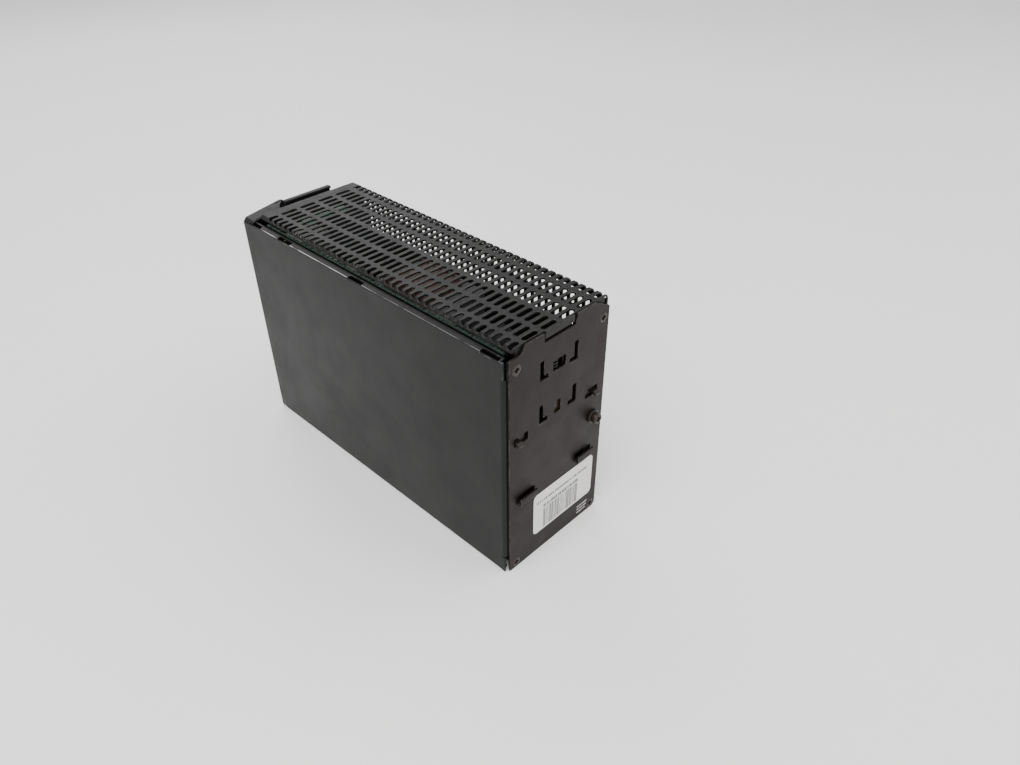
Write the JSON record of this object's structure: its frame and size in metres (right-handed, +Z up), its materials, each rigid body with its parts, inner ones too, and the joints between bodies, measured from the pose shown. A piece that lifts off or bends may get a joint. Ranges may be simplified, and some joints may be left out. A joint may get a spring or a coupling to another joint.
{
  "type": "din rail power supply",
  "caption": "Narrow rail-mounted power supply: black sheet-metal case with a vented cover, plastic front cap, rear rail hooks and a sprung latch.",
  "frame": {"origin": "centre of the base of the whole object's box, on the surface it stands on", "axes": "+Z up as the object stands (upside-down from its place on a rail), front with the terminals faces -Y, rail side faces +Y, plain side faces +X, vented far side faces -X"},
  "size_m": [0.065, 0.1928, 0.125],
  "materials": {
    "black_sheet": "semi-gloss black powder coat on steel sheet",
    "cap_plastic": "fine-textured black moulding",
    "label_paper": "white sticker with grey bars",
    "yellow_zinc": "yellow passivated zinc, worn",
    "spring_steel": "bright drawn wire",
    "nickel_plate": "nickel plate",
    "terminal_plastic": "green moulding",
    "led_lens": "green lens",
    "trimmer_blue": "blue moulding",
    "trimmer_white": "white moulding",
    "switch_black": "black moulding",
    "switch_red": "red moulding",
    "board_green": "green solder mask on glass-epoxy board",
    "insulation_film": "translucent film",
    "capacitor_sleeve": "dark sleeve on an aluminium can",
    "brown_sleeve": "brown sleeve on an aluminium can",
    "ferrite": "dark ferrite",
    "copper_winding": "enamelled copper wire under tape",
    "bobbin_plastic": "off-white moulding",
    "choke_coating": "grey-green coating",
    "film_box": "light grey box",
    "heat_sink_aluminium": "plain sheet",
    "epoxy_black": "black epoxy",
    "fuse_glass": "glass tube with plated caps",
    "disc_blue": "blue epoxy"
  },
  "bodies": {
    "case": {"board_spacer_1": "nickel_plate", "board_spacer_2": "nickel_plate", "board_spacer_3": "nickel_plate", "board_spacer_4": "nickel_plate", "bridge_rectifier": "epoxy_black", "bulk_capacitor_1": "capacitor_sleeve", "bulk_capacitor_2": "capacitor_sleeve", "control_board": "board_green", "corner_screw_1": "yellow_zinc", "corner_screw_2": "yellow_zinc", "corner_screw_3": "yellow_zinc", "corner_screw_4": "yellow_zinc", "film_capacitor_1": "film_box", "film_capacitor_2": "choke_coating", "front_cap": "cap_plastic", "ground_screw": "nickel_plate", "ground_washer": "nickel_plate", "input_choke": "choke_coating", "input_fuse": "fuse_glass", "input_terminal_block": "terminal_plastic", "input_terminal_screw_1": "nickel_plate", "input_terminal_screw_2": "nickel_plate", "input_terminal_screw_3": "nickel_plate", "insulation_sheet": "insulation_film", "latch_spring": "spring_steel", "main_board": "board_green", "output_capacitor_1": "brown_sleeve", "output_capacitor_2": "brown_sleeve", "output_capacitor_3": "brown_sleeve", "output_choke": "copper_winding", "output_rectifier_1": "epoxy_black", "output_rectifier_2": "epoxy_black", "output_terminal_block": "terminal_plastic", "output_terminal_screw_1": "nickel_plate", "output_terminal_screw_2": "nickel_plate", "output_terminal_screw_3": "nickel_plate", "output_terminal_screw_4": "nickel_plate", "power_transistor_1": "epoxy_black", "power_transistor_2": "epoxy_black", "primary_heat_sink": "heat_sink_aluminium", "rear_label": "label_paper", "rear_plate": "black_sheet", "relay": "bobbin_plastic", "secondary_heat_sink": "heat_sink_aluminium", "selector_body": "switch_black", "side_panel": "black_sheet", "status_led": "led_lens", "terminal_board": "board_green", "transformer_base": "bobbin_plastic", "transformer_core": "ferrite", "transformer_winding": "copper_winding", "trimmer_body": "trimmer_blue", "varistor": "disc_blue", "vented_cover": "black_sheet"},
    "latch": {"latch_slider": "yellow_zinc"},
    "flap": {"terminal_cover": "cap_plastic"},
    "trimmer": {"trimmer_dial": "trimmer_white"},
    "selector": {"selector_knob": "switch_red"}
  },
  "joints": [
    {"name": "latch_slide", "type": "slide", "parent": "case", "child": "latch", "axis": [0, 0, 1], "range_m": [0, 0.0018], "stiffness_N_per_m": 1500, "springref_m": -0.004, "deforming": ["latch_spring"]},
    {"name": "terminal_cover_hinge", "type": "hinge", "parent": "case", "child": "flap", "pos_m": [-0.0065, -0.0938, 0.0945], "axis": [1, 0, 0], "range_deg": [0, 100]},
    {"name": "trimmer_turn", "type": "hinge", "parent": "case", "child": "trimmer", "pos_m": [0.0165, -0.0908, 0.062], "axis": [0, -1, 0], "range_deg": [-135, 135]},
    {"name": "selector_slide", "type": "slide", "parent": "case", "child": "selector", "axis": [-1, 0, 0], "range_m": [0, 0.0044]}
  ]
}
